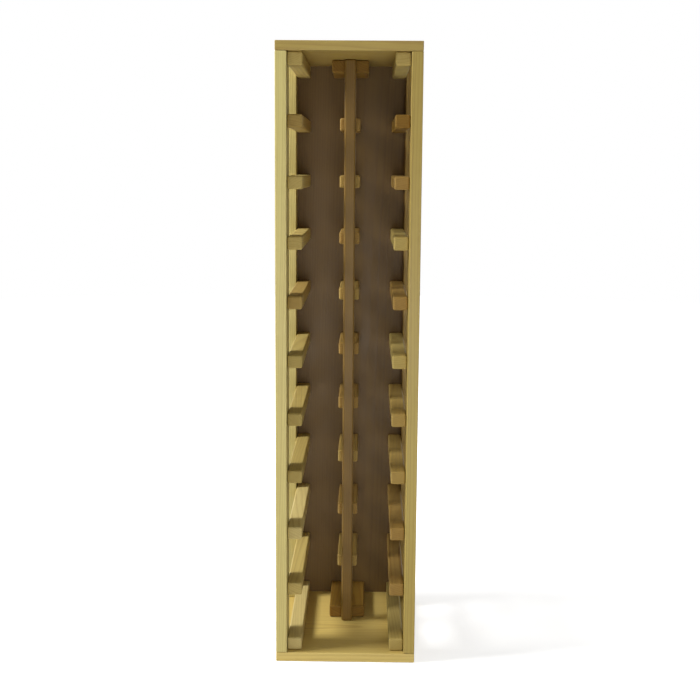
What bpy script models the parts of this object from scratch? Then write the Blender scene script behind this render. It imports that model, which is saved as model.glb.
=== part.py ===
"""A tall, narrow wine rack in solid pine for two columns of bottles.

The bottles lie with their necks to the front. Each one rests on a runner on the
open side frame and on a shorter runner behind the centre post.

Frame: metres, +Z up, front face towards -Y, origin at the middle of the base.
"""
import math

import bmesh
import bpy
from mathutils import Matrix, Vector

# Driving dimensions
HEIGHT = 1.050
WIDTH = 0.240
DEPTH = 0.320
STILE_THICKNESS = 0.019
FRONT_STILE_DEPTH = 0.065
REAR_STILE_DEPTH = 0.045
END_THICKNESS = 0.016
PANEL_THICKNESS = 0.008
PANEL_RECESS = 0.001
REBATE_OVERLAP_X = 0.0095
REBATE_OVERLAP_Z = 0.008
FIT_GAP = 0.0003

# Runners, centre post and centre blocks
LEVELS = 11
RUNNER_WIDTH = 0.025
RUNNER_HEIGHT = 0.022
RUNNER_SETBACK = 0.012
POST_WIDTH = 0.020
POST_DEPTH = 0.018
POST_SETBACK = 0.152
CENTRE_RUNNER_WIDTH = 0.036
CENTRE_BLOCK_WIDTH = 0.065

# Edge rounding
BOARD_EDGE_RADIUS = 0.0012
PANEL_EDGE_RADIUS = 0.0005
BAR_EDGE_RADIUS = 0.0032
BOARD_EDGE_SEGMENTS = 2
BAR_EDGE_SEGMENTS = 2

# Countersunk wood screws through the top and bottom boards
SCREW_HEAD_RADIUS = 0.0040
SCREW_SHANK_RADIUS = 0.0020
SCREW_HEAD_RIM = 0.0004
SCREW_LENGTH = 0.045
SCREW_TIP = 0.006
SCREW_SUNK = 0.0005
SCREW_FRONT_INSET_Y = 0.0325
SCREW_REAR_INSET_Y = 0.027
CROSS_LENGTH = 0.0046
CROSS_WIDTH = 0.0010
CROSS_DEPTH = 0.0018
SCREW_STEPS = 16

# Panel pins through the back panel into its rebate
PIN_HEAD_RADIUS = 0.0024
PIN_HEAD_THICKNESS = 0.0006
PIN_SUNK = 0.0002
PIN_SHANK_RADIUS = 0.0008
PIN_LENGTH = 0.015
PIN_TIP = 0.002
PIN_STEPS = 10
PINS_PER_SIDE = 3
PIN_END_MARGIN = 0.080
PIN_END_X = 0.050

# How far a cutter reaches past the face it opens
CUTTER_REACH = 0.003

# Places worked out from the dimensions above
HALF_WIDTH = WIDTH / 2
HALF_DEPTH = DEPTH / 2
STILE_INNER_X = HALF_WIDTH - STILE_THICKNESS
FLOOR_Z = END_THICKNESS
CEILING_Z = HEIGHT - END_THICKNESS
PANEL_REAR_Y = HALF_DEPTH - PANEL_RECESS
PANEL_FRONT_Y = PANEL_REAR_Y - PANEL_THICKNESS
PANEL_HALF_WIDTH = STILE_INNER_X + REBATE_OVERLAP_X
PANEL_LOW_Z = FLOOR_Z - REBATE_OVERLAP_Z
PANEL_HIGH_Z = CEILING_Z + REBATE_OVERLAP_Z
POST_FRONT_Y = -HALF_DEPTH + POST_SETBACK
POST_REAR_Y = POST_FRONT_Y + POST_DEPTH
TOP_RUNNER_Z = CEILING_Z - FIT_GAP
BOTTOM_RUNNER_Z = FLOOR_Z + FIT_GAP + RUNNER_HEIGHT
LEVEL_PITCH = (TOP_RUNNER_Z - BOTTOM_RUNNER_Z) / (LEVELS - 1)

# Colours, linear RGB, with the roughness of a satin varnish
BOARD_COLOURS = ((0.50, 0.37, 0.16), (0.46, 0.33, 0.13))
RUNNER_COLOURS = ((0.46, 0.33, 0.14), (0.42, 0.27, 0.12), (0.50, 0.36, 0.15), (0.44, 0.25, 0.10))
POST_COLOUR = (0.42, 0.29, 0.14)
PANEL_COLOUR = (0.30, 0.20, 0.11)
STEEL_COLOUR = (0.62, 0.61, 0.58)
WOOD_ROUGHNESS = 0.45
PANEL_ROUGHNESS = 0.55
STEEL_ROUGHNESS = 0.35

SIDES = (("left", -1), ("right", 1))


def clear_scene():
    for thing in list(bpy.data.objects):
        bpy.data.objects.remove(thing, do_unlink=True)


def new_collection(name):
    collection = bpy.data.collections.new(name)
    bpy.context.scene.collection.children.link(collection)
    return collection


def make_material(name, colour, roughness, metallic):
    material = bpy.data.materials.new(name)
    material.use_nodes = True
    shader = material.node_tree.nodes["Principled BSDF"]
    shader.inputs["Base Color"].default_value = (*colour, 1.0)
    shader.inputs["Roughness"].default_value = roughness
    shader.inputs["Metallic"].default_value = metallic
    material.diffuse_color = (*colour, 1.0)
    return material


def wood(name, colour, roughness=WOOD_ROUGHNESS):
    return make_material(name + "_wood", colour, roughness, 0.0)


def steel(name):
    return make_material(name + "_steel", STEEL_COLOUR, STEEL_ROUGHNESS, 1.0)


def box_mesh(name, size):
    """A box centred on its own origin, with its size in the mesh and no object scale."""
    mesh = bpy.data.meshes.new(name)
    shape = bmesh.new()
    bmesh.ops.create_cube(shape, size=1.0)
    bmesh.ops.scale(shape, vec=size, verts=shape.verts)
    shape.to_mesh(mesh)
    shape.free()
    return mesh


def box_between(name, low, high, collection):
    low = Vector(low)
    high = Vector(high)
    piece = bpy.data.objects.new(name, box_mesh(name, high - low))
    piece.location = (low + high) / 2
    collection.objects.link(piece)
    return piece


def make_bar(name, low, high, radius, segments, material, collection):
    """A planed bar or board between two corners, with its edges rounded over."""
    piece = box_between(name, low, high, collection)
    piece.data.materials.append(material)
    rounding = piece.modifiers.new("rounded_edges", "BEVEL")
    rounding.width = radius
    rounding.segments = segments
    rounding.limit_method = "ANGLE"
    piece.data.shade_smooth()
    return piece


def turned_piece(name, profile, steps, collection):
    """A solid of revolution about its own Z axis from a profile of (radius, height) points."""
    mesh = bpy.data.meshes.new(name)
    points = [(radius, 0.0, height) for radius, height in profile]
    edges = [(index, index + 1) for index in range(len(points) - 1)]
    mesh.from_pydata(points, edges, [])
    piece = bpy.data.objects.new(name, mesh)
    turning = piece.modifiers.new("turned", "SCREW")
    turning.steps = steps
    turning.render_steps = steps
    turning.use_merge_vertices = True
    turning.merge_threshold = 0.00001
    collection.objects.link(piece)
    return piece


def cut_with(piece, cutter, name):
    cut = piece.modifiers.new(name, "BOOLEAN")
    cut.operation = "DIFFERENCE"
    cut.solver = "EXACT"
    cut.object = cutter


def hide_cutter(cutter):
    cutter.hide_render = True
    cutter.display_type = "WIRE"


def make_boards(parts):
    """The carcass: four upright stiles between a top board and a bottom board."""
    boards = {}
    depths = (
        ("front", -HALF_DEPTH, -HALF_DEPTH + FRONT_STILE_DEPTH),
        ("rear", HALF_DEPTH - REAR_STILE_DEPTH, HALF_DEPTH))
    for index, (side, sign) in enumerate(SIDES):
        x_low, x_high = sorted((sign * STILE_INNER_X, sign * HALF_WIDTH))
        for place_name, y_low, y_high in depths:
            name = f"{place_name}_stile_{side}"
            boards[place_name, side] = make_bar(
                name,
                (x_low, y_low, FLOOR_Z + FIT_GAP),
                (x_high, y_high, CEILING_Z - FIT_GAP),
                BOARD_EDGE_RADIUS, BOARD_EDGE_SEGMENTS, wood(name, BOARD_COLOURS[index]), parts)
    for index, (end, low_z) in enumerate((("top", CEILING_Z), ("bottom", 0.0))):
        name = end + "_board"
        boards[end] = make_bar(
            name,
            (-HALF_WIDTH, -HALF_DEPTH, low_z),
            (HALF_WIDTH, HALF_DEPTH, low_z + END_THICKNESS),
            BOARD_EDGE_RADIUS, BOARD_EDGE_SEGMENTS, wood(name, BOARD_COLOURS[index]), parts)
    return boards


def make_back_panel(boards, parts, cutters):
    """The back panel, and the rebate that it sits in all the way round."""
    name = "back_panel"
    panel = make_bar(
        name,
        (-PANEL_HALF_WIDTH, PANEL_FRONT_Y, PANEL_LOW_Z),
        (PANEL_HALF_WIDTH, PANEL_REAR_Y, PANEL_HIGH_Z),
        PANEL_EDGE_RADIUS, BOARD_EDGE_SEGMENTS, wood(name, PANEL_COLOUR, PANEL_ROUGHNESS), parts)
    rebate = box_between(
        "rebate_cutter",
        (-PANEL_HALF_WIDTH - FIT_GAP, PANEL_FRONT_Y - FIT_GAP, PANEL_LOW_Z - FIT_GAP),
        (PANEL_HALF_WIDTH + FIT_GAP, HALF_DEPTH + CUTTER_REACH, PANEL_HIGH_Z + FIT_GAP),
        cutters)
    hide_cutter(rebate)
    for place, board in boards.items():
        if "front" not in place:
            cut_with(board, rebate, "rebate")
    return panel


def level_top(level):
    """Height of a runner's top face; level 1 is under the top board."""
    return TOP_RUNNER_Z - (level - 1) * LEVEL_PITCH


def make_side_runners(parts):
    """The front-to-back runners on the stiles' inner faces, one at each level of each side."""
    for offset, (side, sign) in enumerate(SIDES):
        near = sign * (STILE_INNER_X - FIT_GAP)
        x_low, x_high = sorted((near, near - sign * RUNNER_WIDTH))
        for level in range(1, LEVELS + 1):
            name = f"{side}_runner_{level:02d}"
            colour = RUNNER_COLOURS[(level + 2 * offset) % len(RUNNER_COLOURS)]
            top = level_top(level)
            make_bar(
                name,
                (x_low, -HALF_DEPTH + RUNNER_SETBACK, top - RUNNER_HEIGHT),
                (x_high, PANEL_FRONT_Y - FIT_GAP, top),
                BAR_EDGE_RADIUS, BAR_EDGE_SEGMENTS, wood(name, colour), parts)


def make_centre(parts):
    """The post between the two columns, with a runner or a block behind it at each level."""
    make_bar(
        "centre_post",
        (-POST_WIDTH / 2, POST_FRONT_Y, FLOOR_Z + FIT_GAP),
        (POST_WIDTH / 2, POST_REAR_Y, CEILING_Z - FIT_GAP),
        BAR_EDGE_RADIUS, BAR_EDGE_SEGMENTS, wood("centre_post", POST_COLOUR), parts)
    end_names = {1: "top_centre_block", LEVELS: "bottom_centre_block"}
    for level in range(1, LEVELS + 1):
        name = end_names.get(level, f"centre_runner_{level:02d}")
        width = CENTRE_BLOCK_WIDTH if level in end_names else CENTRE_RUNNER_WIDTH
        colour = RUNNER_COLOURS[level % len(RUNNER_COLOURS)]
        top = level_top(level)
        make_bar(
            name,
            (-width / 2, POST_REAR_Y + FIT_GAP, top - RUNNER_HEIGHT),
            (width / 2, PANEL_FRONT_Y - FIT_GAP, top),
            BAR_EDGE_RADIUS, BAR_EDGE_SEGMENTS, wood(name, colour), parts)


def screw_profile(clearance):
    """Countersunk head, shank and point, from the head's face down, grown by a clearance."""
    head = SCREW_HEAD_RADIUS + clearance
    shank = SCREW_SHANK_RADIUS + clearance
    rim = -SCREW_HEAD_RIM
    return (
        (0.0, 0.0), (head, 0.0), (head, rim), (shank, rim - (head - shank)),
        (shank, -SCREW_LENGTH + SCREW_TIP), (0.0, -SCREW_LENGTH - clearance))


def screw_hole_profile():
    """The hole for a screw, open past the board's face above the head."""
    inner = screw_profile(FIT_GAP)[2:]
    head = SCREW_HEAD_RADIUS + FIT_GAP
    return ((0.0, CUTTER_REACH), (head, CUTTER_REACH), *inner)


def pin_profile(clearance):
    """Flat head, shank and point of a panel pin, from the head's face down, grown by a clearance."""
    head = PIN_HEAD_RADIUS + clearance
    shank = PIN_SHANK_RADIUS + clearance
    under_head = -PIN_HEAD_THICKNESS - clearance
    return (
        (0.0, 0.0), (head, 0.0), (head, under_head), (shank, under_head),
        (shank, -PIN_LENGTH + PIN_TIP), (0.0, -PIN_LENGTH - clearance))


def pin_hole_profile():
    """The hole for a pin, open past the face that its head is driven flush into."""
    inner = pin_profile(FIT_GAP)[2:]
    head = PIN_HEAD_RADIUS + FIT_GAP
    return ((0.0, CUTTER_REACH), (head, CUTTER_REACH), *inner)


def cut_cross_recess(screw, place, cutters):
    """The cross recess in a screw's head: two slots at right angles."""
    slots = ((CROSS_LENGTH, CROSS_WIDTH), (CROSS_WIDTH, CROSS_LENGTH))
    for index, (across_x, across_y) in enumerate(slots):
        slot = box_between(
            f"{screw.name}_slot_{index}_cutter",
            (-across_x / 2, -across_y / 2, -CROSS_DEPTH),
            (across_x / 2, across_y / 2, CUTTER_REACH),
            cutters)
        slot.matrix_world = place @ Matrix.Translation(slot.location)
        hide_cutter(slot)
        cut_with(screw, slot, f"recess_{index}")


def make_screws(boards, parts, cutters):
    """Four screws down through the top board and four up through the bottom board."""
    flip = {"top": Matrix.Identity(4), "bottom": Matrix.Rotation(math.pi, 4, "X")}
    face_z = {"top": HEIGHT - SCREW_SUNK, "bottom": SCREW_SUNK}
    for end in ("top", "bottom"):
        for side, sign in SIDES:
            x = sign * (HALF_WIDTH - STILE_THICKNESS / 2)
            for place_name, y in (("front", -HALF_DEPTH + SCREW_FRONT_INSET_Y),
                                  ("rear", HALF_DEPTH - SCREW_REAR_INSET_Y)):
                name = f"{end}_screw_{place_name}_{side}"
                place = Matrix.Translation((x, y, face_z[end])) @ flip[end]
                screw = turned_piece(name, screw_profile(0.0), SCREW_STEPS, parts)
                screw.matrix_world = place
                screw.data.materials.append(steel(name))
                cut_cross_recess(screw, place, cutters)
                hole = turned_piece(name + "_hole_cutter", screw_hole_profile(), SCREW_STEPS, cutters)
                hole.matrix_world = place
                hide_cutter(hole)
                cut_with(boards[end], hole, "hole_" + name)
                cut_with(boards[place_name, side], hole, "hole_" + name)


def pin_places():
    """Name, board and position of each pin: along both rear stiles, then at the top and bottom."""
    pin_x = STILE_INNER_X + REBATE_OVERLAP_X / 2
    low = PIN_END_MARGIN
    step = (HEIGHT - 2 * PIN_END_MARGIN) / (PINS_PER_SIDE - 1)
    for side, sign in SIDES:
        for index in range(PINS_PER_SIDE):
            yield f"panel_pin_{side}_{index + 1}", ("rear", side), sign * pin_x, low + index * step
    end_z = {"top": CEILING_Z + REBATE_OVERLAP_Z / 2, "bottom": FLOOR_Z - REBATE_OVERLAP_Z / 2}
    for end, z in end_z.items():
        for side, sign in SIDES:
            yield f"panel_pin_{end}_{side}", end, sign * PIN_END_X, z


def make_pins(boards, panel, parts, cutters):
    """Panel pins driven flush from behind, through the back panel into the ledge of its rebate."""
    turn = Matrix.Rotation(-math.pi / 2, 4, "X")
    for name, board, x, z in pin_places():
        place = Matrix.Translation((x, PANEL_REAR_Y - PIN_SUNK, z)) @ turn
        pin = turned_piece(name, pin_profile(0.0), PIN_STEPS, parts)
        pin.matrix_world = place
        pin.data.materials.append(steel(name))
        hole = turned_piece(name + "_hole_cutter", pin_hole_profile(), PIN_STEPS, cutters)
        hole.matrix_world = place
        hide_cutter(hole)
        cut_with(panel, hole, "hole_" + name)
        cut_with(boards[board], hole, "hole_" + name)


def main():
    clear_scene()
    parts = new_collection("wine_rack")
    cutters = new_collection("wine_rack_cutters")
    boards = make_boards(parts)
    panel = make_back_panel(boards, parts, cutters)
    make_side_runners(parts)
    make_centre(parts)
    make_screws(boards, parts, cutters)
    make_pins(boards, panel, parts, cutters)


main()
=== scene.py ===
"""The looks of a tall pine wine rack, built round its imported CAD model.

Every wooden piece is rebuilt from its CAD node's box: planed, with rounded edges and
the faint waves that a planer leaves. Each has its own pine material, cut from one solid
log pattern of growth rings, so the rings on its faces meet at its edges.
"""
import math
import random
from collections import namedtuple

import bmesh
import bpy
from mathutils import Matrix, Vector, noise


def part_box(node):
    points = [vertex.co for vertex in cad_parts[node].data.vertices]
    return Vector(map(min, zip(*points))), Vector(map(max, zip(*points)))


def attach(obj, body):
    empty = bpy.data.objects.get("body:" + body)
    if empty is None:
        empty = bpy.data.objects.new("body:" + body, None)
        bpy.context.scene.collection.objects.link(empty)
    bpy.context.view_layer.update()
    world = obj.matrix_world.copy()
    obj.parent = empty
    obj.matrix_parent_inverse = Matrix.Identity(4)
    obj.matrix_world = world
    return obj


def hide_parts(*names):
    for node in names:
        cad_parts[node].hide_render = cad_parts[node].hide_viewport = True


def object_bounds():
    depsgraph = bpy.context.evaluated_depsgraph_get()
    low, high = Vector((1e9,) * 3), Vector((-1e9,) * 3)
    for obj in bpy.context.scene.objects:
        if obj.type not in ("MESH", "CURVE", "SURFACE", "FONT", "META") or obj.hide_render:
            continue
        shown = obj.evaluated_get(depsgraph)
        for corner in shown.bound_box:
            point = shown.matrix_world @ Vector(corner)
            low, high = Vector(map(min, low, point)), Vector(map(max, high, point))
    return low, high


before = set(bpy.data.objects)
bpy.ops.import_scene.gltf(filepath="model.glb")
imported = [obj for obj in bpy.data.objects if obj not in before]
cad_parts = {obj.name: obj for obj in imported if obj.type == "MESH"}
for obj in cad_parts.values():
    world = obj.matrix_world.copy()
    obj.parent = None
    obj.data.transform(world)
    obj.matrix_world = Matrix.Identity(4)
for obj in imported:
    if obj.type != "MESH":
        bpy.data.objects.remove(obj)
cad_low, cad_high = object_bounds()

# Unseeded, the noise of the planer's waves would start from the clock
PLANING_NOISE_SEED = 11
noise.seed_set(PLANING_NOISE_SEED)

# The CAD gap between pieces that touch, in metres
FIT_GAP = 0.0003

# Edges and planing; a seed picks where on the planer's waves a piece lies
BOARD_EDGE_RADIUS = 0.0012
PANEL_EDGE_RADIUS = 0.0005
BAR_EDGE_RADIUS = 0.0032
EDGE_SEGMENTS = 5
CUT_SPACING = 0.014
SAME_PLACE = 1e-7
PLANING_DEPTH = 0.00012
PLANING_WAVES_PER_METRE = 18.0
BOARD_SEED_STEP = 7.0
PANEL_SEED = 40.0
POST_SEED = 3.0
BAR_DICE_SEED = 11
SHARP_ANGLE = math.radians(40)

# How far a cutter reaches past the face that it opens
REBATE_OVERCUT = 0.01
DRILL_OVERCUT = 0.002
RECESS_OVERCUT = 0.001

# Screws: a thread's flank is the share of the pitch from its crest to its root
SCREW_STEPS = 48
SCREW_HEAD_RADIUS = 0.0040
SCREW_RIM = 0.0004
SCREW_NECK_RADIUS = 0.0017
SCREW_CORE_RADIUS = 0.0013
SCREW_TIP = 0.006
SCREW_TIP_RADIUS = 0.00002
SCREW_HOLE_RADIUS = 0.0023
THREAD_PITCH = 0.0019
THREAD_DEPTH = 0.0006
THREAD_FLANK = 0.22
THREAD_START = 0.010
THREAD_ROWS_PER_TURN = 8
RECESS_ARM = 0.0023
RECESS_WIDTH = 0.0010
RECESS_DEPTH = 0.0017
RECESS_TOP_SCALE = 1.05
RECESS_FOOT_SCALE = 0.45

# Panel pins
PIN_STEPS = 32
PIN_HEAD_RADIUS = 0.0024
PIN_HEAD_THICKNESS = 0.0006
PIN_SHANK_RADIUS = 0.0008
PIN_TIP = 0.002
PIN_HOLE_RADIUS = 0.0011

# Pine runs from pale straw to rust; each is a pale earlywood and a dark latewood colour
BAR_TONES = {
    "pale": ((0.58, 0.47, 0.190), (0.39, 0.28, 0.100)),
    "straw": ((0.51, 0.395, 0.132), (0.34, 0.232, 0.068)),
    "honey": ((0.43, 0.330, 0.106), (0.29, 0.195, 0.053)),
    "tan": ((0.38, 0.262, 0.077), (0.235, 0.140, 0.036)),
    "brown": ((0.33, 0.209, 0.059), (0.205, 0.110, 0.026)),
    "rust": ((0.235, 0.135, 0.024), (0.145, 0.065, 0.010)),
}
# The bars' tones from the top level down; the centre's ends are the two blocks. The left and right
# tones are partly the wood's own varied tone and partly painted light and shade, each read off its
# runner's brightness, so the right side runs darker and the lower left paler.
TONES_AND_SHADE_BY_SIDE = {
    "left": (
        "straw", "tan", "straw", "straw", "tan", "honey",
        "honey", "honey", "pale", "straw", "pale"),
    "right": (
        "straw", "rust", "brown", "honey", "brown", "honey",
        "tan", "tan", "brown", "brown", "honey"),
    "centre": (
        "rust", "brown", "tan", "brown", "tan", "brown",
        "brown", "tan", "brown", "tan", "rust"),
}

# How a piece was cut from the log: the axis its grain runs along, the two colours of its rings, the
# width and contrast of the rings, the pith's place from the piece's centre in metres and its lean
# in radians, and the varnish. For the stiles, boards, post and panel the ring colours also carry
# painted light and shade.
Cut = namedtuple(
    "Cut", "grain pale dark ring_width contrast pith lean coat specular", defaults=(0.10, 0.32))
# Painted light and shade: the left stiles get paler ring colours and the right stiles darker ones,
# the light and shade of lamps on the left painted into the wood.
LEFT_LIT_PALE, LEFT_LIT_DARK = (0.61, 0.518, 0.187), (0.415, 0.303, 0.087)
RIGHT_SHADED_PALE, RIGHT_SHADED_DARK = (0.42, 0.31, 0.068), (0.257, 0.15, 0.029)
BOARD_CUTS = {
    "front_stile_left": Cut(
        "Z", LEFT_LIT_PALE, LEFT_LIT_DARK, 0.0032, 0.75, (0.05, -0.06, 0.0), (0.006, 0.012)),
    "front_stile_right": Cut(
        "Z", RIGHT_SHADED_PALE, RIGHT_SHADED_DARK, 0.0034, 0.75, (-0.06, 0.03, 0.0), (0.010, -0.008)),
    "rear_stile_left": Cut(
        "Z", LEFT_LIT_PALE, LEFT_LIT_DARK, 0.0030, 0.80, (0.06, 0.04, 0.0), (-0.008, 0.010)),
    # Painted shade: the right rear stile's colours are darker still, a shadow painted into the
    # wood.
    "rear_stile_right": Cut(
        "Z", (0.35, 0.222, 0.044), (0.21, 0.108, 0.018), 0.0036, 0.80,
        (-0.04, -0.05, 0.0), (0.009, 0.006)),
    # Painted shade: the top board's colours are darker, as light falls off towards the top.
    "top_board": Cut(
        "X", (0.41, 0.297, 0.074), (0.275, 0.16, 0.038), 0.0036, 0.85,
        (0.0, 0.02, 0.05), (0.01, 0.02)),
    # Painted light: the bottom board's colours are paler, as light is stronger towards the bottom.
    "bottom_board": Cut(
        "X", (0.625, 0.475, 0.143), (0.435, 0.280, 0.069), 0.0034, 0.80,
        (0.0, -0.04, 0.06), (0.01, -0.02)),
}
# Painted shade: the post's colours are far darker than the rest of the pine, a shadow painted into
# it.
SHADED_POST_CUT = Cut(
    "Z", (0.180, 0.101, 0.013), (0.114, 0.054, 0.005), 0.0030, 0.7,
    (0.055, 0.02, 0.0), (0.01, 0.015), coat=0.0)
# Partly the panel's own dark brown and partly painted shade: its colours are darkened further for
# the shade that falls deep in the rack.
BROWN_AND_SHADED_PANEL_CUT = Cut(
    "Z", (0.138, 0.077, 0.013), (0.104, 0.052, 0.007), 0.0040, 0.8,
    (0.03, 0.06, 0.0), (0.004, 0.02), coat=0.0)
BAR_SPECULAR = 0.1
COAT_ROUGHNESS = 0.28

# The turn that brings the log's Z to the grain's axis
GRAIN_TURN = {
    "X": (0.0, math.radians(90), 0.0),
    "Y": (math.radians(-90), 0.0, 0.0),
    "Z": (0.0, 0.0, 0.0),
}
AXES = "XYZ"

# Cycles per metre of the wood's patterns, across the grain twice and then along it
WANDER = (7.0, 7.0, 1.3)
RIPPLE = (60.0, 60.0, 9.0)
FIBRE = (950.0, 950.0, 16.0)
STREAK = (170.0, 170.0, 3.0)
BROAD = (16.0, 16.0, 2.0)
CANAL = (1300.0, 1300.0, 55.0)
# The same for patterns that don't follow the grain
SPECK = (2100.0, 2100.0, 2100.0)
CHIPPED = (120.0, 120.0, 120.0)
SMEAR = (22.0, 22.0, 22.0)
DENTS = (95.0, 95.0, 95.0)
# How far the rings stray, in metres
WANDER_REACH = 0.012
RIPPLE_REACH = 0.0016

# The zinc's clouds and drawn scratches, in cycles per metre
ZINC_CLOUD = (420.0, 420.0, 420.0)
ZINC_SCRATCH = (5200.0, 700.0, 5200.0)

# The floor's own glow grows outwards to keep it pale, and only the camera sees it
FLOOR_RADIUS = 6.0
FLOOR_DROP = 0.0005
FLOOR_GLOW_NEAR = 0.62
FLOOR_GLOW_FAR = 1.0
FLOOR_GLOW_FROM = 0.25
FLOOR_GLOW_TO = 1.6

# The even light from all round, then each lamp: name, azimuth in degrees, distance, height,
# width and depth in metres, and power in watts
AMBIENT = 0.13
LAMPS = (
    ("side_left", -80, 2.2, 2.2, (0.9, 0.9), 100),
    ("front_left", -46, 2.2, 2.2, (0.9, 0.9), 4),
    ("front_low", 4, 2.2, 0.3, (0.9, 0.7), 13),
    ("front_high", 4, 2.2, 1.6, (0.9, 0.7), 3),
    ("fill_right", 70, 2.2, 1.2, (0.9, 0.9), 2),
    ("back_left", -140, 2.6, 1.4, (1.2, 1.2), 10),
    ("back_right", 140, 2.6, 1.4, (1.2, 1.2), 16),
)

CAMERA_DISTANCE = 2.000
CAMERA_SIDE = 0.0325
CAMERA_HEIGHT = 0.848
CAMERA_PITCH = math.radians(8.93)
CAMERA_YAW = math.radians(-0.79)
CAMERA_ROLL = math.radians(0.41)
CAMERA_LENS = 62.4
CAMERA_SENSOR = 36.0
CAMERA_SHIFT_Y = 0.0121


# ---------------------------------------------------------------- shapes


def finish_piece(piece, material, node):
    """Gives the piece its material, fastens it to the one body and hides the CAD part that it
    stands for.
    """
    piece.data.materials.clear()
    piece.data.materials.append(material)
    piece.data.shade_smooth()
    piece.data.set_sharp_from_angle(angle=SHARP_ANGLE)
    weighted = piece.modifiers.new("even_normals", "WEIGHTED_NORMAL")
    weighted.keep_sharp = True
    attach(piece, "root")
    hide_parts(node)


def new_object(name, shape):
    mesh = bpy.data.meshes.new(name)
    shape.to_mesh(mesh)
    shape.free()
    made = bpy.data.objects.new(name, mesh)
    bpy.context.scene.collection.objects.link(made)
    return made


def block(low, high):
    """A bmesh box between two corners."""
    shape = bmesh.new()
    bmesh.ops.create_cube(shape, size=1.0)
    bmesh.ops.scale(shape, vec=high - low, verts=shape.verts)
    bmesh.ops.translate(shape, vec=(low + high) / 2, verts=shape.verts)
    return shape


def cut_across(shape, low, high, spacing):
    """Cuts the shape into even slices along each axis, so that it can carry planing waves."""
    for axis in range(3):
        length = high[axis] - low[axis]
        slices = max(2, round(length / spacing))
        for index in range(1, slices):
            point = low.copy()
            point[axis] += length * index / slices
            normal = Vector((0.0, 0.0, 0.0))
            normal[axis] = 1.0
            whole = list(shape.verts) + list(shape.edges) + list(shape.faces)
            bmesh.ops.bisect_plane(
                shape, geom=whole, dist=SAME_PLACE, plane_co=point, plane_no=normal)


def plane_down(shape, low, high, depth, seed):
    """Presses the faces in by up to depth, in long soft waves, and never out."""
    centre = (low + high) / 2
    half = (high - low) / 2
    shift = Vector((seed * 1.7, seed * 2.9, seed * 0.6))
    for vertex in shape.verts:
        waves = noise.noise_vector(vertex.co * PLANING_WAVES_PER_METRE + shift)
        for axis in range(3):
            share = depth * (0.5 + 0.5 * waves[axis]) / half[axis]
            offset = vertex.co[axis] - centre[axis]
            vertex.co[axis] = centre[axis] + offset * (1.0 - max(0.0, min(1.0, share)))


def planed_block(node, radius, seed):
    low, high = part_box(node)
    shape = block(low, high)
    bmesh.ops.bevel(
        shape, geom=list(shape.edges), offset=radius, offset_type="OFFSET",
        segments=EDGE_SEGMENTS, profile=0.5, affect="EDGES")
    cut_across(shape, low, high, CUT_SPACING)
    plane_down(shape, low, high, PLANING_DEPTH, seed)
    return shape


def subtract(piece, cutter):
    """Cuts the cutter out of the piece for good and removes the cutter."""
    cut = piece.modifiers.new("cut", "BOOLEAN")
    cut.operation = "DIFFERENCE"
    cut.solver = "EXACT"
    cut.object = cutter
    graph = bpy.context.evaluated_depsgraph_get()
    result = bpy.data.meshes.new_from_object(piece.evaluated_get(graph))
    piece.modifiers.clear()
    old = piece.data
    piece.data = result
    bpy.data.meshes.remove(old)
    result.name = piece.name
    bpy.data.objects.remove(cutter, do_unlink=True)


def ring_of_points(shape, radius_at, height, steps):
    """Points round the Z axis; radius_at gives the radius for an angle."""
    ring = []
    for step in range(steps):
        angle = 2 * math.pi * step / steps
        radius = radius_at(angle)
        point = (radius * math.cos(angle), radius * math.sin(angle), height)
        ring.append(shape.verts.new(point))
    return ring


def profile_rings(shape, profile, steps):
    """A ring for each (radius, height) of the profile, or one point where the radius is 0."""
    rings = []
    for radius, height in profile:
        if radius == 0.0:
            rings.append([shape.verts.new((0.0, 0.0, height))])
        else:
            rings.append(ring_of_points(shape, lambda angle, r=radius: r, height, steps))
    return rings


def turned(name, profile, steps, place):
    """A closed solid of revolution from a profile that starts and ends on the axis."""
    shape = bmesh.new()
    join_rings(shape, profile_rings(shape, profile, steps), steps)
    shape.transform(place)
    return new_object(name, shape)


def join_rings(shape, rings, steps):
    """Faces between neighbouring rings; a ring of one point closes an end."""
    for upper, lower in zip(rings, rings[1:]):
        for step in range(steps):
            after = (step + 1) % steps
            if len(upper) == 1:
                corners = (upper[0], lower[step], lower[after])
            elif len(lower) == 1:
                corners = (upper[step], lower[0], upper[after])
            else:
                corners = (upper[step], lower[step], lower[after], upper[after])
            shape.faces.new(corners)
    bmesh.ops.recalc_face_normals(shape, faces=list(shape.faces))


# ---------------------------------------------------------------- fasteners


def thread_radius(height, angle):
    """A V thread's radius: the core's at the root and THREAD_DEPTH more at the crest."""
    turn = (height / THREAD_PITCH + angle / (2 * math.pi)) % 1.0
    crest = max(0.0, 1.0 - abs(turn - 0.5) / THREAD_FLANK)
    return SCREW_CORE_RADIUS + THREAD_DEPTH * crest


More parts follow.
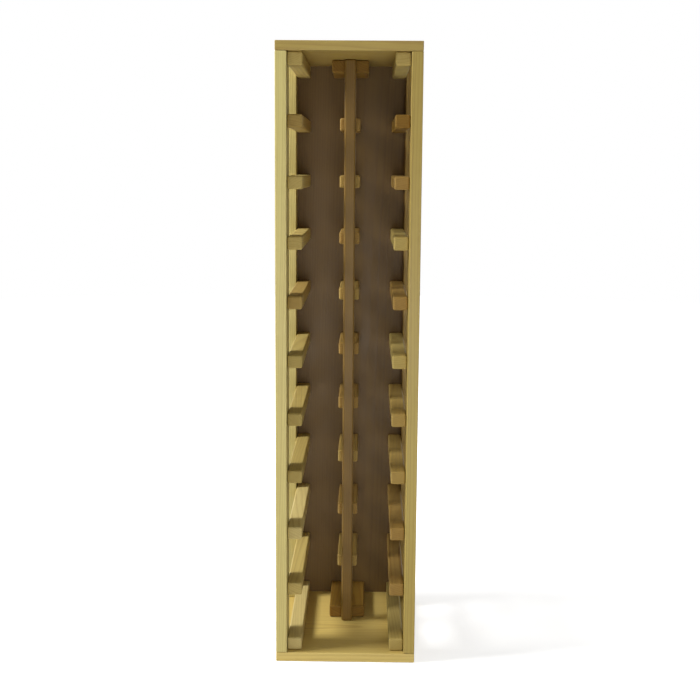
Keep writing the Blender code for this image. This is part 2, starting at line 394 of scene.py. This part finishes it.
def make_screw(node, place, length, steel):
    """A countersunk wood screw: head, plain neck, thread and point, with a cross recess."""
    head = SCREW_HEAD_RADIUS
    neck = SCREW_NECK_RADIUS
    core = SCREW_CORE_RADIUS
    rim = -SCREW_RIM
    profile = (
        (0.0, 0.0), (head * 0.55, 0.0), (head - 0.0002, 0.0), (head - 0.00005, -0.00006),
        (head, -0.0002), (head, rim), (neck, rim - (head - neck)),
        (neck, -THREAD_START + 0.0004))
    shape = bmesh.new()
    rings = profile_rings(shape, profile, SCREW_STEPS)
    thread_length = length - THREAD_START
    rows = round(thread_length / THREAD_PITCH * THREAD_ROWS_PER_TURN)
    for row in range(rows):
        height = -THREAD_START - thread_length * row / rows
        fade = min(1.0, (length + height) / SCREW_TIP)
        start = min(1.0, (row + 1) / THREAD_ROWS_PER_TURN)

        def radius_at(angle, height=height, fade=fade, start=start):
            full = thread_radius(height, angle)
            return (core + (full - core) * start) * fade + SCREW_TIP_RADIUS

        rings.append(ring_of_points(shape, radius_at, height, SCREW_STEPS))
    rings.append([shape.verts.new((0.0, 0.0, -length))])
    join_rings(shape, rings, SCREW_STEPS)
    shape.transform(place)
    screw = new_object(node + "_detailed", shape)
    subtract(screw, cross_cutter(place))
    finish_piece(screw, steel, node)


def cross_cutter(place):
    """A cross with tapering arms, for the recess in a screw's head."""
    arm, half = RECESS_ARM, RECESS_WIDTH / 2
    quarter_outline = ((arm, -half), (arm, half), (half, half))
    shape = bmesh.new()
    layers = []
    for height, scale in ((RECESS_OVERCUT, RECESS_TOP_SCALE), (-RECESS_DEPTH, RECESS_FOOT_SCALE)):
        ring = []
        for quarter in range(4):
            turn = Matrix.Rotation(quarter * math.pi / 2, 3, "Z")
            for x, y in quarter_outline:
                point = turn @ Vector((x * scale, y * (0.5 + 0.5 * scale), 0.0))
                ring.append(shape.verts.new((point.x, point.y, height)))
        layers.append(ring)
    upper, lower = layers
    count = len(upper)
    shape.faces.new(upper)
    shape.faces.new(list(reversed(lower)))
    for index in range(count):
        after = (index + 1) % count
        shape.faces.new((upper[index], lower[index], lower[after], upper[after]))
    bmesh.ops.recalc_face_normals(shape, faces=list(shape.faces))
    shape.transform(place)
    return new_object("cross_cutter", shape)


def make_pin(node, place, length, steel):
    """A panel pin: flat head with a softened rim, plain shank and point."""
    head = PIN_HEAD_RADIUS
    shank = PIN_SHANK_RADIUS
    under = -PIN_HEAD_THICKNESS
    profile = (
        (0.0, -0.00004), (head * 0.5, -0.00002), (head - 0.0003, 0.0),
        (head - 0.00008, -0.00008), (head, -0.0003), (head - 0.00006, under + 0.00008),
        (head - 0.0003, under), (shank + 0.0002, under), (shank, under - 0.0002),
        (shank, -length + PIN_TIP), (shank * 0.4, -length + PIN_TIP * 0.3), (0.0, -length))
    pin = turned(node + "_detailed", profile, PIN_STEPS, place)
    finish_piece(pin, steel, node)


# ---------------------------------------------------------------- material nodes


class Tree:
    """Short calls for building a node tree."""

    def __init__(self, tree):
        self.tree = tree

    def node(self, kind, **settings):
        made = self.tree.nodes.new("ShaderNode" + kind)
        for name, value in settings.items():
            setattr(made, name, value)
        return made

    def put(self, socket, value):
        if isinstance(value, bpy.types.NodeSocket):
            self.tree.links.new(value, socket)
        elif isinstance(value, (tuple, list)) and socket.type == "RGBA" and len(value) == 3:
            socket.default_value = (*value, 1.0)
        else:
            socket.default_value = value

    def maths(self, operation, first, second=0.0, third=0.0, clamp=False):
        made = self.node("Math", operation=operation, use_clamp=clamp)
        for socket, value in zip(made.inputs, (first, second, third)):
            self.put(socket, value)
        return made.outputs[0]

    def vector(self, operation, first, second=(0.0, 0.0, 0.0)):
        made = self.node("VectorMath", operation=operation)
        self.put(made.inputs[0], first)
        if operation == "SCALE":
            self.put(made.inputs["Scale"], second)
        else:
            self.put(made.inputs[1], second)
        return made.outputs["Value" if operation in ("LENGTH", "DOT_PRODUCT") else "Vector"]

    def split(self, vector):
        made = self.node("SeparateXYZ")
        self.put(made.inputs[0], vector)
        return made.outputs

    def join(self, x, y, z):
        made = self.node("CombineXYZ")
        for socket, value in zip(made.inputs, (x, y, z)):
            self.put(socket, value)
        return made.outputs[0]

    def noise(self, place, cycles, detail=2.0, roughness=0.5, colour=False):
        """Noise at a place, with so many cycles per metre along each axis."""
        made = self.node("TexNoise")
        self.put(made.inputs["Vector"], self.vector("MULTIPLY", place, cycles))
        self.put(made.inputs["Scale"], 1.0)
        self.put(made.inputs["Detail"], detail)
        self.put(made.inputs["Roughness"], roughness)
        return made.outputs["Color" if colour else "Fac"]

    def ramp(self, value, low, high):
        """0 below low, 1 above high and a smooth step between."""
        made = self.node("MapRange", interpolation_type="SMOOTHSTEP")
        self.put(made.inputs["Value"], value)
        self.put(made.inputs["From Min"], low)
        self.put(made.inputs["From Max"], high)
        return made.outputs["Result"]

    def mix(self, factor, first, second):
        """A mix of two colours; the node's sockets 6, 7 and 2 are the ones for colour."""
        made = self.node("Mix", data_type="RGBA", blend_type="MIX")
        self.put(made.inputs["Factor"], factor)
        self.put(made.inputs[6], first)
        self.put(made.inputs[7], second)
        return made.outputs[2]


def new_group(name, inputs, outputs):
    """An empty node group: gives its tree helper, its inputs and its output node."""
    tree = bpy.data.node_groups.new(name, "ShaderNodeTree")
    for socket_name, kind in inputs:
        tree.interface.new_socket(socket_name, in_out="INPUT", socket_type="NodeSocket" + kind)
    for socket_name, kind in outputs:
        tree.interface.new_socket(socket_name, in_out="OUTPUT", socket_type="NodeSocket" + kind)
    given = tree.nodes.new("NodeGroupInput").outputs
    return Tree(tree), given, tree.nodes.new("NodeGroupOutput")


def pine_group():
    """Solid pine. Place is a point in the log, with the pith along Z at the origin.

    Rings are bands of distance from the pith: pale earlywood that darkens to a thin, sharp
    line of latewood. Fibres, resin canals and broad stains all run along Z.
    """
    inputs = (
        ("Place", "Vector"), ("Position", "Vector"), ("Centre", "Vector"), ("Half", "Vector"),
        ("End grain", "Float"), ("Pale", "Color"), ("Dark", "Color"), ("Ring width", "Float"),
        ("Contrast", "Float"))
    outputs = (("Color", "Color"), ("Roughness", "Float"), ("Height", "Float"))
    t, given, out = new_group("solid_pine", inputs, outputs)
    place = given["Place"]
    middle_grey = (0.5, 0.5, 0.5)

    # The rings stray from true circles, slowly and in fine ripples.
    wander = t.noise(place, WANDER, detail=2.0, colour=True)
    wander = t.vector("SCALE", t.vector("SUBTRACT", wander, middle_grey), WANDER_REACH)
    ripple = t.noise(place, RIPPLE, detail=1.0, colour=True)
    ripple = t.vector("SCALE", t.vector("SUBTRACT", ripple, middle_grey), RIPPLE_REACH)
    x, y, z = t.split(t.vector("ADD", t.vector("ADD", place, wander), ripple))

    # Years of growth from the pith, some wide and some narrow, each with its own latewood.
    radius = t.vector("LENGTH", t.join(x, y, 0.0))
    years = t.maths("DIVIDE", radius, given["Ring width"])
    uneven = t.noise(t.join(years, 0.0, 0.0), (0.45, 0.0, 0.0), detail=1.0)
    years = t.maths("ADD", years, t.maths("MULTIPLY", uneven, 1.4))
    season = t.maths("FRACT", years)
    year = t.node("TexWhiteNoise", noise_dimensions="1D")
    t.put(year.inputs["W"], t.maths("FLOOR", years))
    strength = t.maths("MULTIPLY_ADD", year.outputs["Value"], 0.55, 0.45)
    rise = t.ramp(season, 0.35, 0.93)
    fall = t.maths("SUBTRACT", 1.0, t.ramp(season, 0.955, 1.0))
    latewood = t.maths("MULTIPLY", t.maths("MULTIPLY", rise, fall), strength)

    fibre = t.noise(place, FIBRE, detail=2.0, roughness=0.6)
    streak = t.noise(place, STREAK, detail=2.0, roughness=0.55)
    broad = t.noise(place, BROAD, detail=2.0)
    canal = t.ramp(t.noise(place, CANAL, detail=0.0), 0.69, 0.76)
    canal = t.maths("MULTIPLY", canal, t.maths("MULTIPLY_ADD", latewood, 0.7, 0.3))

    # Each pattern's share of the step from pale to dark.
    shade = t.maths("MULTIPLY", latewood, 0.62)
    shade = t.maths("MULTIPLY_ADD", t.maths("SUBTRACT", fibre, 0.5), 0.34, shade)
    shade = t.maths("MULTIPLY_ADD", t.maths("SUBTRACT", streak, 0.5), 0.62, shade)
    shade = t.maths("MULTIPLY_ADD", t.maths("SUBTRACT", broad, 0.5), 0.70, shade)
    shade = t.maths("MULTIPLY_ADD", canal, 0.25, shade)
    shade = t.maths("ADD", t.maths("MULTIPLY", shade, given["Contrast"]), 0.10, clamp=True)
    colour = t.mix(shade, given["Pale"], given["Dark"])

    # End grain drinks the varnish: darker, with the rings still showing.
    end = t.ramp(given["End grain"], 0.55, 0.85)
    colour = t.mix(t.maths("MULTIPLY", end, 0.26), colour, given["Dark"])
    speck = t.noise(place, SPECK, detail=1.0)
    specks = t.maths("MULTIPLY", t.ramp(speck, 0.5, 0.75), 0.35)
    colour = t.mix(t.maths("MULTIPLY", end, specks), colour, given["Dark"])

    # The middle one of the distances to the faces is the one to the nearest edge.
    off_centre = t.vector("SUBTRACT", given["Position"], given["Centre"])
    reach = t.vector("SUBTRACT", given["Half"], t.vector("ABSOLUTE", off_centre))
    a, b, c = t.split(reach)
    larger = t.maths("MINIMUM", t.maths("MAXIMUM", a, b), c)
    edge = t.maths("MAXIMUM", t.maths("MINIMUM", a, b), larger)
    chipped = t.noise(given["Position"], CHIPPED, detail=3.0)
    limit = t.maths("MULTIPLY_ADD", chipped, 0.0040, 0.0004)
    worn = t.maths("SUBTRACT", 1.0, t.ramp(edge, 0.0, limit))
    bare = t.mix(0.25, given["Pale"], (0.75, 0.62, 0.32))
    colour = t.mix(t.maths("MULTIPLY", worn, 0.20), colour, bare)

    smear = t.noise(given["Position"], SMEAR, detail=3.0)
    rough = t.maths("MULTIPLY_ADD", smear, 0.16, 0.36)
    rough = t.maths("MULTIPLY_ADD", latewood, -0.06, rough)
    rough = t.maths("MULTIPLY_ADD", fibre, 0.06, rough)
    rough = t.maths("MULTIPLY_ADD", end, 0.16, rough)
    rough = t.maths("MULTIPLY_ADD", worn, 0.06, rough)

    # Relief in metres.
    height = t.maths("MULTIPLY", latewood, 0.00006)
    height = t.maths("MULTIPLY_ADD", fibre, 0.00005, height)
    height = t.maths("MULTIPLY_ADD", streak, 0.00010, height)
    height = t.maths("MULTIPLY_ADD", canal, -0.00006, height)
    height = t.maths("MULTIPLY_ADD", t.maths("MULTIPLY", end, speck), -0.00008, height)
    dents = t.ramp(t.noise(given["Position"], DENTS, detail=1.0), 0.74, 0.86)
    height = t.maths("MULTIPLY_ADD", dents, -0.00012, height)

    t.put(out.inputs["Color"], colour)
    t.put(out.inputs["Roughness"], rough)
    t.put(out.inputs["Height"], height)
    return t.tree


PINE = pine_group()


def new_material(name):
    """A material with its tree helper and its shader."""
    material = bpy.data.materials.new(name)
    material.use_nodes = True
    return material, Tree(material.node_tree), material.node_tree.nodes["Principled BSDF"]


def bump_into(shader, t, height, strength):
    bump = t.node("Bump")
    bump.inputs["Strength"].default_value = strength
    bump.inputs["Distance"].default_value = 1.0
    t.put(bump.inputs["Height"], height)
    t.put(shader.inputs["Normal"], bump.outputs["Normal"])


def pine_material(node, cut):
    """The node's own piece of the log."""
    material, t, shader = new_material(node + "_pine")
    low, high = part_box(node)
    centre = (low + high) / 2
    position = t.node("TexCoord").outputs["Object"]
    turn = t.node("Mapping", vector_type="TEXTURE")
    t.put(turn.inputs["Vector"], position)
    turn.inputs["Rotation"].default_value = Vector(GRAIN_TURN[cut.grain]) + Vector((*cut.lean, 0.0))
    turn.inputs["Location"].default_value = centre + Vector(cut.pith)
    normal = t.split(t.node("NewGeometry").outputs["Normal"])
    group = t.node("Group", node_tree=PINE)
    group.inputs["Centre"].default_value = centre
    group.inputs["Half"].default_value = (high - low) / 2
    t.put(group.inputs["Place"], turn.outputs[0])
    t.put(group.inputs["Position"], position)
    t.put(group.inputs["End grain"], t.maths("ABSOLUTE", normal[AXES.index(cut.grain)]))
    t.put(group.inputs["Pale"], cut.pale)
    t.put(group.inputs["Dark"], cut.dark)
    t.put(group.inputs["Ring width"], cut.ring_width)
    t.put(group.inputs["Contrast"], cut.contrast)
    t.put(shader.inputs["Base Color"], group.outputs["Color"])
    t.put(shader.inputs["Roughness"], group.outputs["Roughness"])
    bump_into(shader, t, group.outputs["Height"], 0.8)
    shader.inputs["Specular IOR Level"].default_value = cut.specular
    shader.inputs["Coat Weight"].default_value = cut.coat
    shader.inputs["Coat Roughness"].default_value = COAT_ROUGHNESS
    return material


def zinc_material(name):
    """Zinc-plated steel with a drawn finish and faint yellow passivation."""
    material, t, shader = new_material(name)
    position = t.node("TexCoord").outputs["Object"]
    cloud = t.noise(position, ZINC_CLOUD, detail=3.0)
    scratch = t.noise(position, ZINC_SCRATCH, detail=2.0)
    t.put(shader.inputs["Base Color"], t.mix(cloud, (0.66, 0.65, 0.62), (0.50, 0.46, 0.36)))
    t.put(shader.inputs["Roughness"], t.maths("MULTIPLY_ADD", cloud, 0.22, 0.26))
    shader.inputs["Metallic"].default_value = 1.0
    bump_into(shader, t, t.maths("MULTIPLY", scratch, 0.00003), 0.5)
    return material


# ---------------------------------------------------------------- the rack's pieces


def bar_tone_and_shade(node):
    """The tone of a runner or block, from its side and level; a side runner's tone carries painted
    light and shade as well.
    """
    if "block" in node:
        return TONES_AND_SHADE_BY_SIDE["centre"][0 if node.startswith("top") else -1]
    side, level = node.split("_")[0], int(node.split("_")[-1])
    return TONES_AND_SHADE_BY_SIDE[side][level - 1]


def make_bars():
    """Runners, post and blocks: planed bars with their edges rounded over."""
    dice = random.Random(BAR_DICE_SEED)
    for node in sorted(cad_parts):
        if "runner" not in node and "block" not in node:
            continue
        seed = dice.uniform(0.0, 50.0)
        pith = (
            dice.uniform(-0.05, 0.05), dice.uniform(-0.2, 0.2),
            dice.choice((-1, 1)) * dice.uniform(0.03, 0.08))
        lean = (dice.uniform(-0.04, 0.04), dice.uniform(-0.04, 0.04))
        ring_width = dice.uniform(0.0026, 0.0044)
        contrast = dice.uniform(0.8, 1.15)
        cut = Cut(
            "Y", *BAR_TONES[bar_tone_and_shade(node)], ring_width, contrast, pith, lean,
            coat=0.0, specular=BAR_SPECULAR)
        piece = new_object(node + "_planed", planed_block(node, BAR_EDGE_RADIUS, seed))
        finish_piece(piece, pine_material(node, cut), node)
    shape = planed_block("centre_post", BAR_EDGE_RADIUS, POST_SEED)
    post = new_object("centre_post_planed", shape)
    finish_piece(post, pine_material("centre_post", SHADED_POST_CUT), "centre_post")


def screw_places():
    """Name, head position and pointing matrix of each screw, from its CAD node's box."""
    for node in sorted(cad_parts):
        if "_screw_" not in node:
            continue
        low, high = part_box(node)
        middle = (low + high) / 2
        upward = node.startswith("top")
        head_z = high.z if upward else low.z
        turn = Matrix.Identity(4) if upward else Matrix.Rotation(math.pi, 4, "X")
        place = Matrix.Translation((middle.x, middle.y, head_z)) @ turn
        yield node, place, high.z - low.z


def pin_places():
    """The same for each panel pin, whose head is at the back."""
    for node in sorted(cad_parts):
        if not node.startswith("panel_pin"):
            continue
        low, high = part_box(node)
        middle = (low + high) / 2
        head = Matrix.Translation((middle.x, high.y, middle.z))
        yield node, head @ Matrix.Rotation(-math.pi / 2, 4, "X"), high.y - low.y


def drill(piece, places, head_radius, rim, shank_radius):
    """Sinks a countersunk hole for each fastener: its head's at the rim, its shank's below."""
    for node, place, length in places:
        foot = -length - FIT_GAP
        profile = (
            (0.0, DRILL_OVERCUT), (head_radius, DRILL_OVERCUT), (head_radius, rim),
            (shank_radius, rim - (head_radius - shank_radius)), (shank_radius, foot), (0.0, foot))
        subtract(piece, turned("drill", profile, SCREW_STEPS, place))


def screws_into(node, screws):
    """The screws that run into a stile or an end board."""
    words = node.split("_")
    if "stile" in words:
        return [screw for screw in screws if screw[0].endswith(f"{words[0]}_{words[2]}")]
    return [screw for screw in screws if screw[0].startswith(words[0])]


def make_boards():
    """Stiles, top and bottom boards with the back panel's rebate and the screws' holes."""
    panel_low, panel_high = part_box("back_panel")
    gap = Vector((FIT_GAP, FIT_GAP, FIT_GAP))
    rebate_low = panel_low - gap
    rebate_high = panel_high + gap
    rebate_high.y = cad_high.y + REBATE_OVERCUT
    screws = list(screw_places())
    for index, (node, cut) in enumerate(BOARD_CUTS.items()):
        shape = planed_block(node, BOARD_EDGE_RADIUS, BOARD_SEED_STEP * index)
        piece = new_object(node + "_planed", shape)
        if not node.startswith("front"):
            subtract(piece, new_object("rebate", block(rebate_low, rebate_high)))
        drill(piece, screws_into(node, screws),
              SCREW_HEAD_RADIUS + FIT_GAP, -SCREW_RIM, SCREW_HOLE_RADIUS)
        finish_piece(piece, pine_material(node, cut), node)


def make_back_panel():
    shape = planed_block("back_panel", PANEL_EDGE_RADIUS, PANEL_SEED)
    piece = new_object("back_panel_planed", shape)
    drill(piece, pin_places(),
          PIN_HEAD_RADIUS + FIT_GAP, -PIN_HEAD_THICKNESS - FIT_GAP, PIN_HOLE_RADIUS)
    finish_piece(piece, pine_material("back_panel", BROWN_AND_SHADED_PANEL_CUT), "back_panel")


def make_fasteners():
    steel = zinc_material("zinc_plated_steel")
    for node, place, length in screw_places():
        make_screw(node, place, length, steel)
    for node, place, length in pin_places():
        make_pin(node, place, length, steel)


# ---------------------------------------------------------------- floor, light, camera


def make_floor():
    """A plain pale floor disc, its top just under the rack's base."""
    shape = bmesh.new()
    bmesh.ops.create_circle(shape, cap_ends=True, segments=128, radius=FLOOR_RADIUS)
    floor = new_object("floor", shape)
    floor.location.z = cad_low.z - FLOOR_DROP
    material, t, shader = new_material("pale_floor")
    shader.inputs["Base Color"].default_value = (0.86, 0.86, 0.85, 1.0)
    shader.inputs["Roughness"].default_value = 0.9
    shader.inputs["Specular IOR Level"].default_value = 0.1
    shader.inputs["Emission Color"].default_value = (1.0, 1.0, 1.0, 1.0)
    distance = t.vector("LENGTH", t.node("TexCoord").outputs["Object"])
    outwards = t.ramp(distance, FLOOR_GLOW_FROM, FLOOR_GLOW_TO)
    more = FLOOR_GLOW_FAR - FLOOR_GLOW_NEAR
    glow = t.maths("MULTIPLY_ADD", outwards, more, FLOOR_GLOW_NEAR)
    seen = t.node("LightPath").outputs["Is Camera Ray"]
    t.put(shader.inputs["Emission Strength"], t.maths("MULTIPLY", glow, seen))
    floor.data.materials.append(material)


def area_light(name, place, target, size, power):
    light = bpy.data.lights.new(name, "AREA")
    light.shape = "RECTANGLE"
    light.size, light.size_y = size
    light.energy = power
    lamp = bpy.data.objects.new(name, light)
    lamp.location = place
    lamp.rotation_mode = "QUATERNION"
    lamp.rotation_quaternion = (target - place).to_track_quat("-Z", "Y")
    bpy.context.scene.collection.objects.link(lamp)


def around(azimuth, distance, height):
    """A point round the rack: azimuth 0 is straight in front and 90 to its right."""
    angle = math.radians(azimuth)
    return Vector((distance * math.sin(angle), -distance * math.cos(angle), height))


def make_lights():
    """The lamps and a white world, dimmer as light than the camera sees it."""
    middle = (cad_low + cad_high) / 2
    for name, azimuth, distance, height, size, power in LAMPS:
        area_light(name, around(azimuth, distance, height), middle, size, power)
    world = bpy.data.worlds.new("studio")
    bpy.context.scene.world = world
    world.use_nodes = True
    t = Tree(world.node_tree)
    background = world.node_tree.nodes["Background"]
    background.inputs["Color"].default_value = (1.0, 1.0, 1.0, 1.0)
    seen = t.node("LightPath").outputs["Is Camera Ray"]
    t.put(background.inputs["Strength"], t.maths("MULTIPLY_ADD", seen, 1.0 - AMBIENT, AMBIENT))


def make_camera():
    """The camera in front, above the middle of the rack and a little to its right."""
    data = bpy.data.cameras.new("camera")
    data.lens = CAMERA_LENS
    data.sensor_width = CAMERA_SENSOR
    data.shift_y = CAMERA_SHIFT_Y
    camera = bpy.data.objects.new("camera", data)
    place = Matrix.Translation((CAMERA_SIDE, cad_low.y - CAMERA_DISTANCE, CAMERA_HEIGHT))
    yaw = Matrix.Rotation(-CAMERA_YAW, 4, "Z")
    pitch = Matrix.Rotation(math.pi / 2 - CAMERA_PITCH, 4, "X")
    roll = Matrix.Rotation(CAMERA_ROLL, 4, "Z")
    camera.matrix_world = place @ yaw @ pitch @ roll
    bpy.context.scene.collection.objects.link(camera)
    bpy.context.scene.camera = camera


make_camera()
make_floor()
make_lights()
make_boards()
make_back_panel()
make_bars()
make_fasteners()
bpy.context.scene.view_settings.view_transform = "Standard"
bpy.context.view_layer.update()
